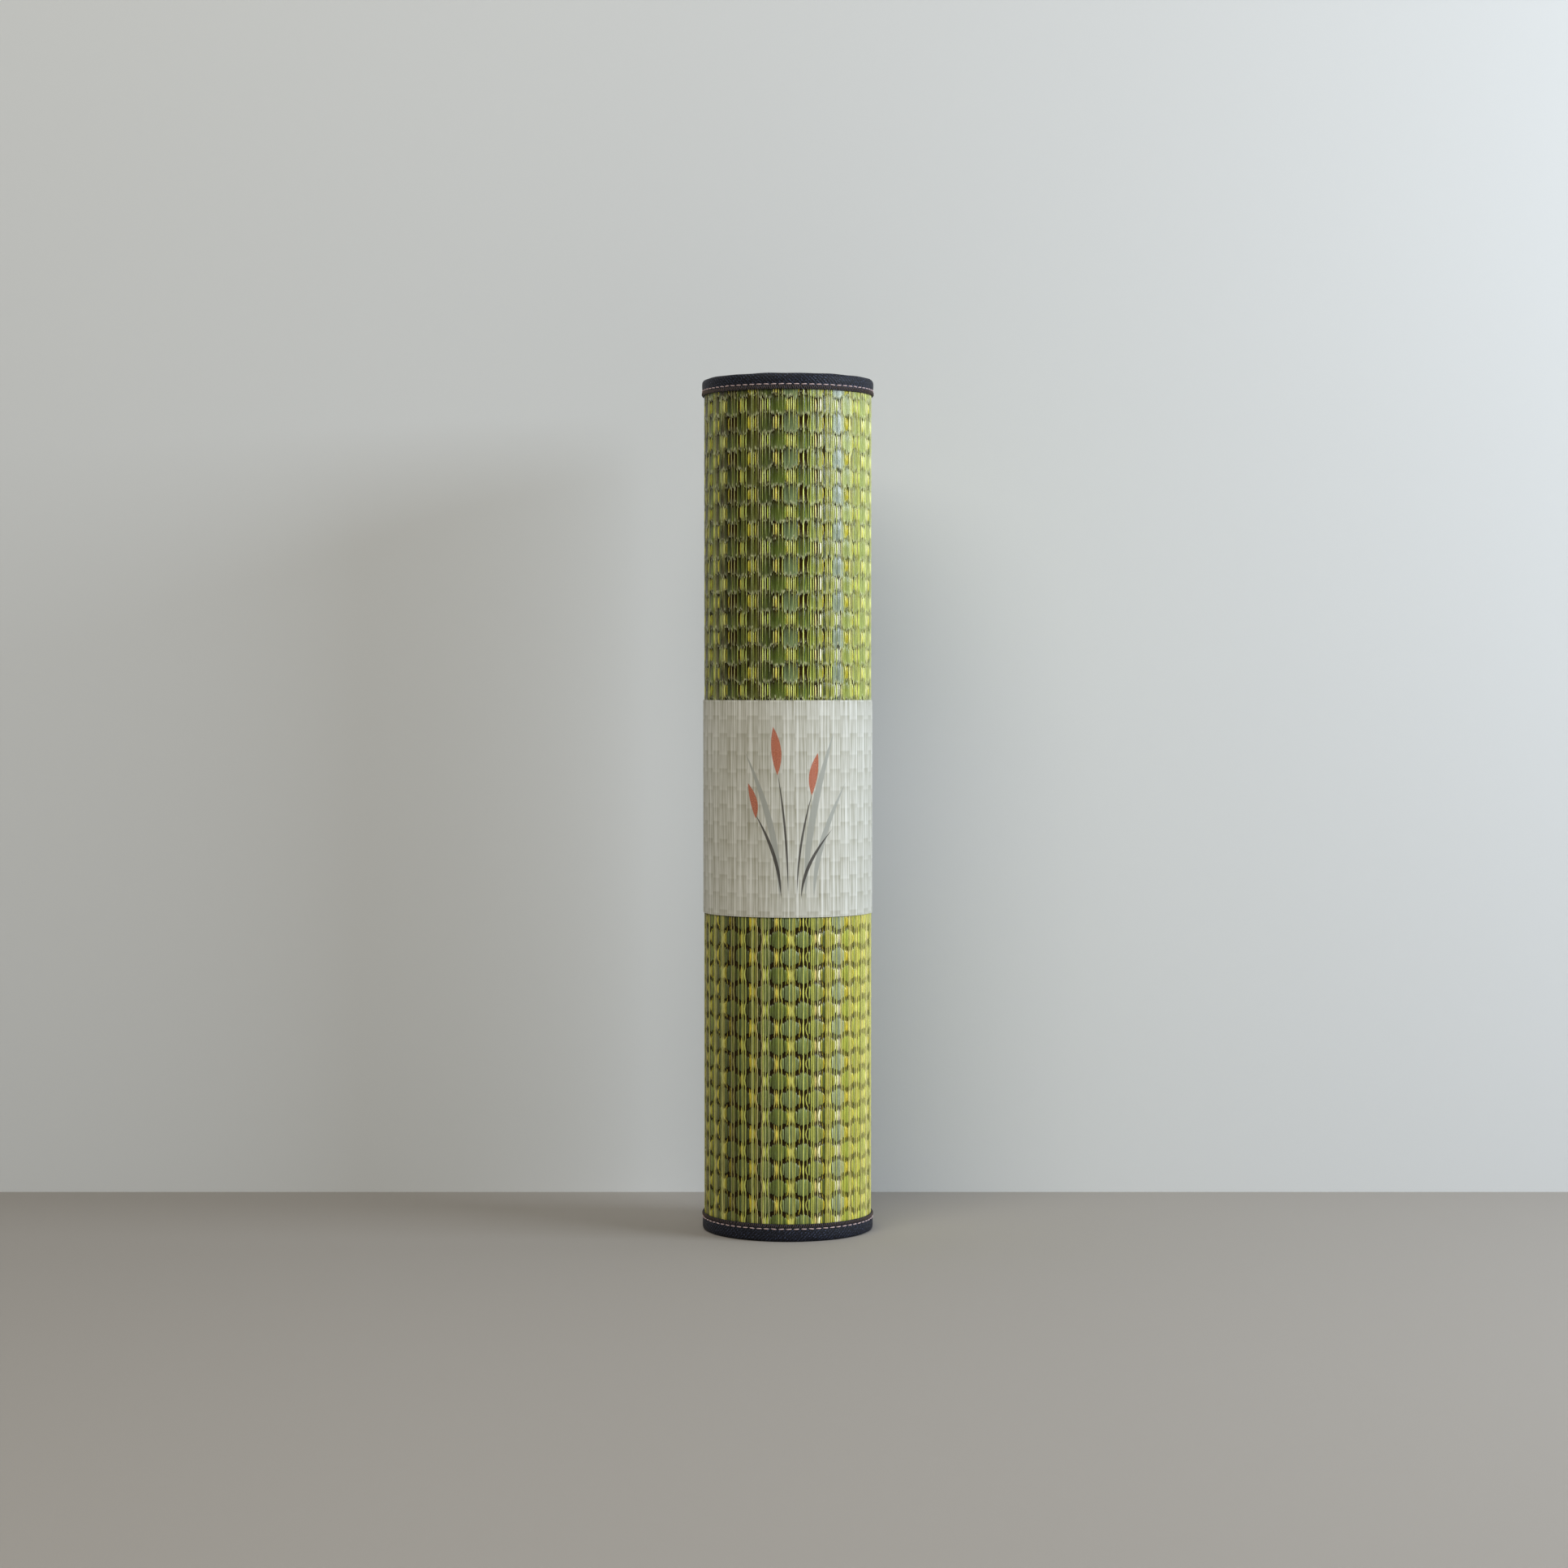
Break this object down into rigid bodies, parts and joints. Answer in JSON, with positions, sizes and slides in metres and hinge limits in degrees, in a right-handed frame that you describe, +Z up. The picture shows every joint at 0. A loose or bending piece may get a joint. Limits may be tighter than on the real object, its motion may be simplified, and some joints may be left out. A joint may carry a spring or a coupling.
{
  "type": "rolled rush exercise mat",
  "caption": "Woven rush floor mat with a foam core and grip backing, fabric-bound edges, rolled into a standing cylinder and held by a paper band that slides along it.",
  "frame": {"origin": "on the roll's axis, at floor level, where the roll stands on its bottom edge", "axes": "+Z up along the roll's axis, -Y is the front seen in the picture, +Y is the back where the mat's loose end lies"},
  "size_m": [0.1207, 0.1238, 0.6],
  "materials": {
    "woven_rush": "satin",
    "cushion_foam": "matte",
    "grip_backing": "matte",
    "navy_denim": "matte",
    "band_paper": "matte",
    "clear_tape": "satin"
  },
  "bodies": {
    "mat_roll": {"rush_face": "woven_rush", "cushion_core": "cushion_foam", "grip_backing": "grip_backing", "top_edge_binding": "navy_denim", "bottom_edge_binding": "navy_denim", "outer_end_binding": "navy_denim", "inner_end_binding": "navy_denim"},
    "band": {"wrap_band": "band_paper", "band_tape": "clear_tape"}
  },
  "joints": [
    {"name": "band_slide", "type": "slide", "parent": "mat_roll", "child": "band", "axis": [0, 0, 1], "range_m": [-0.21, 0.21]}
  ]
}
